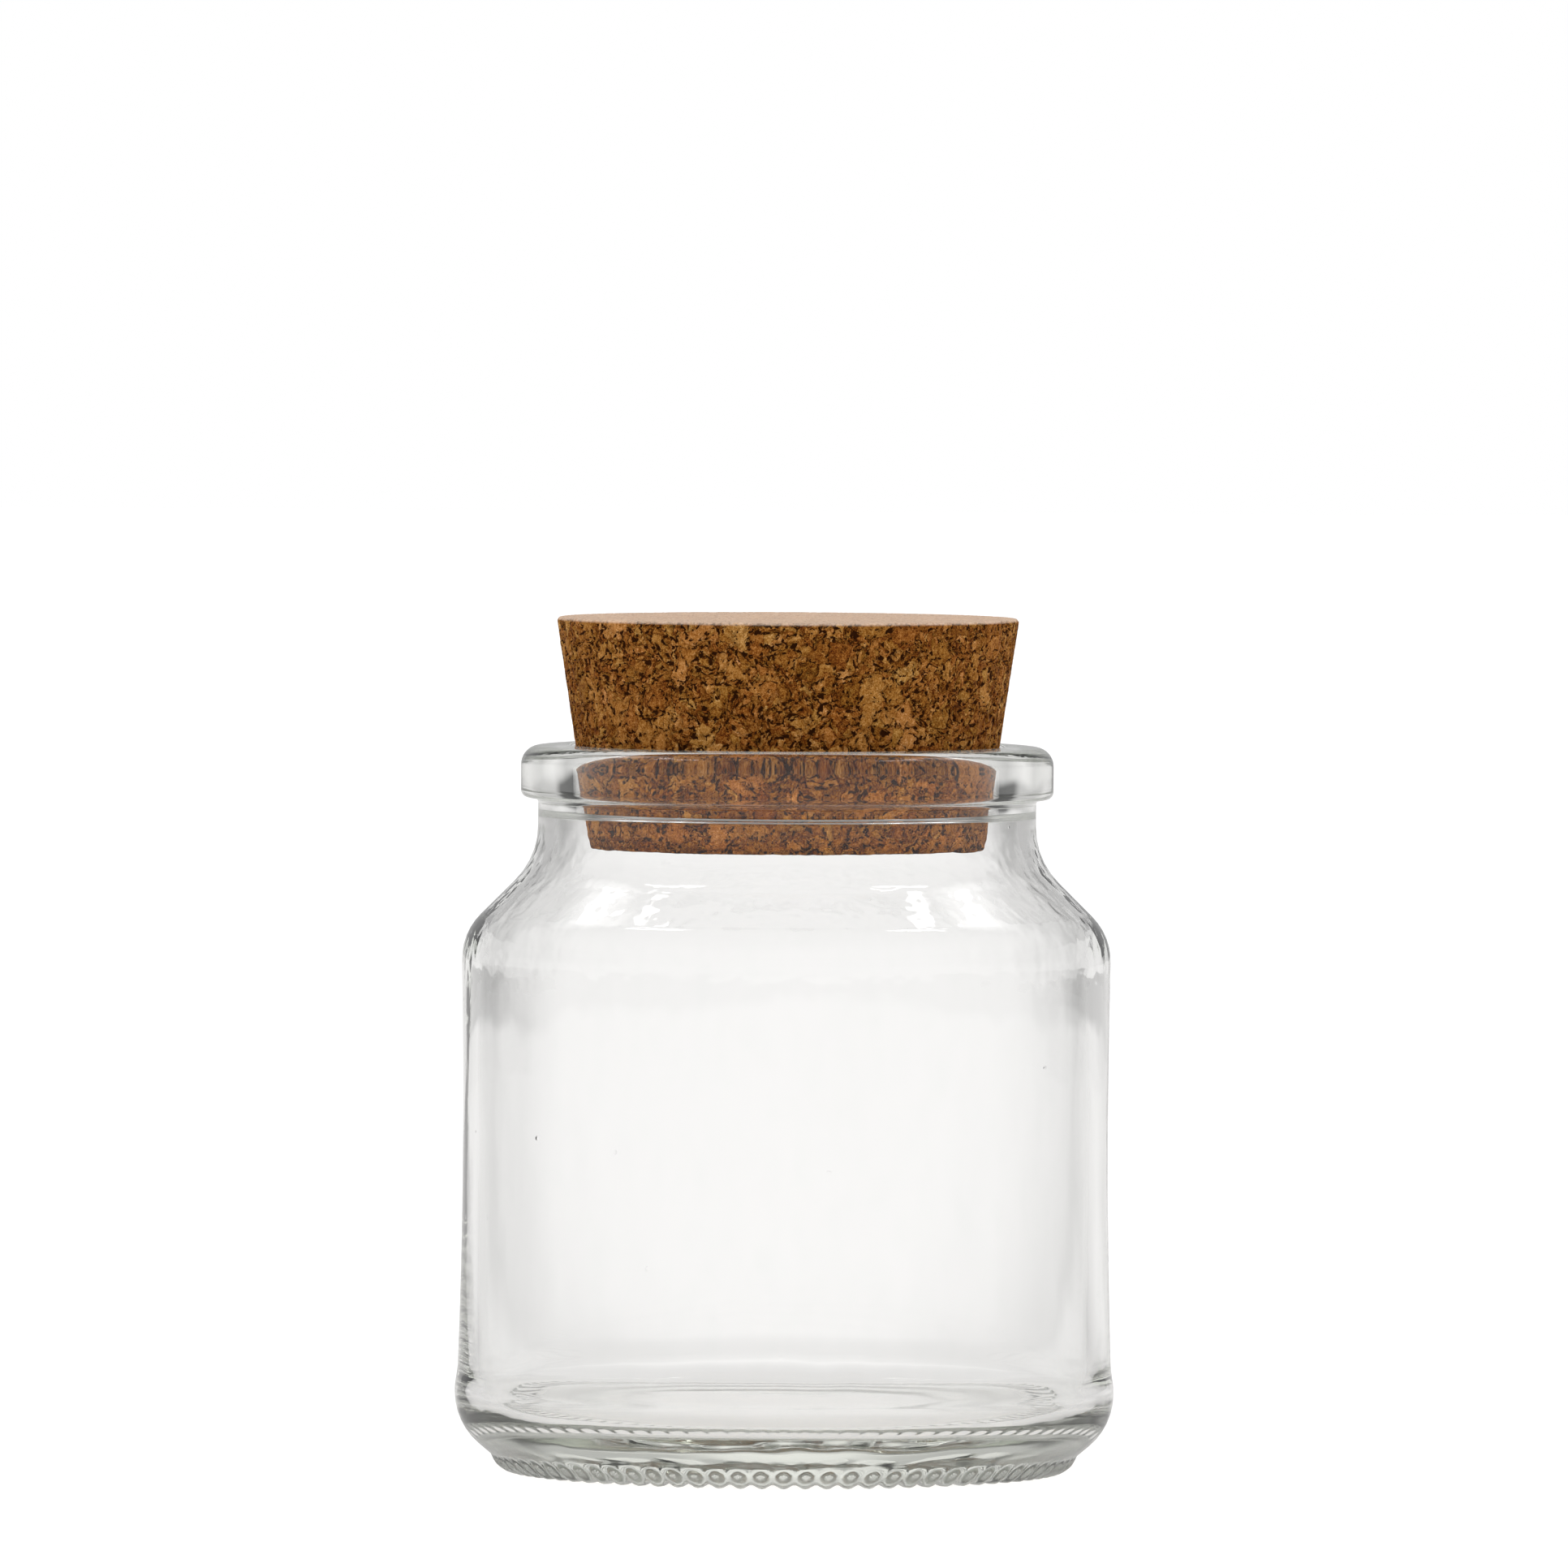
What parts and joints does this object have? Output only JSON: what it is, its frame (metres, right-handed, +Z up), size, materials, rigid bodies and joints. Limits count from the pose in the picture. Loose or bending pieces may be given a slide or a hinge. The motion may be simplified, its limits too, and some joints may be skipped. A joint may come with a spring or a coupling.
{
  "type": "storage jar with cork stopper",
  "caption": "Round clear glass storage jar with a beaded lip, sloping shoulder, drawn-in waist and knurled foot, closed by a tapered cork stopper that lifts straight out.",
  "frame": {"origin": "on the jar's axis, on the plane that the foot's knurls stand on", "axes": "+Z up along the jar's axis, towards the stopper; +X through the middle of one knurl; +Y completes the right-handed frame"},
  "size_m": [0.08, 0.08, 0.1037],
  "materials": {
    "clear_glass": "clear, fire polished",
    "cork": "bonded cork granules, cut and sanded, unsealed"
  },
  "bodies": {
    "jar": {"glass_jar": "clear_glass"},
    "stopper": {"cork_stopper": "cork"}
  },
  "joints": [
    {"name": "stopper_lift", "type": "slide", "parent": "jar", "child": "stopper", "axis": [0, 0, 1], "range_m": [0, 0.08]}
  ]
}
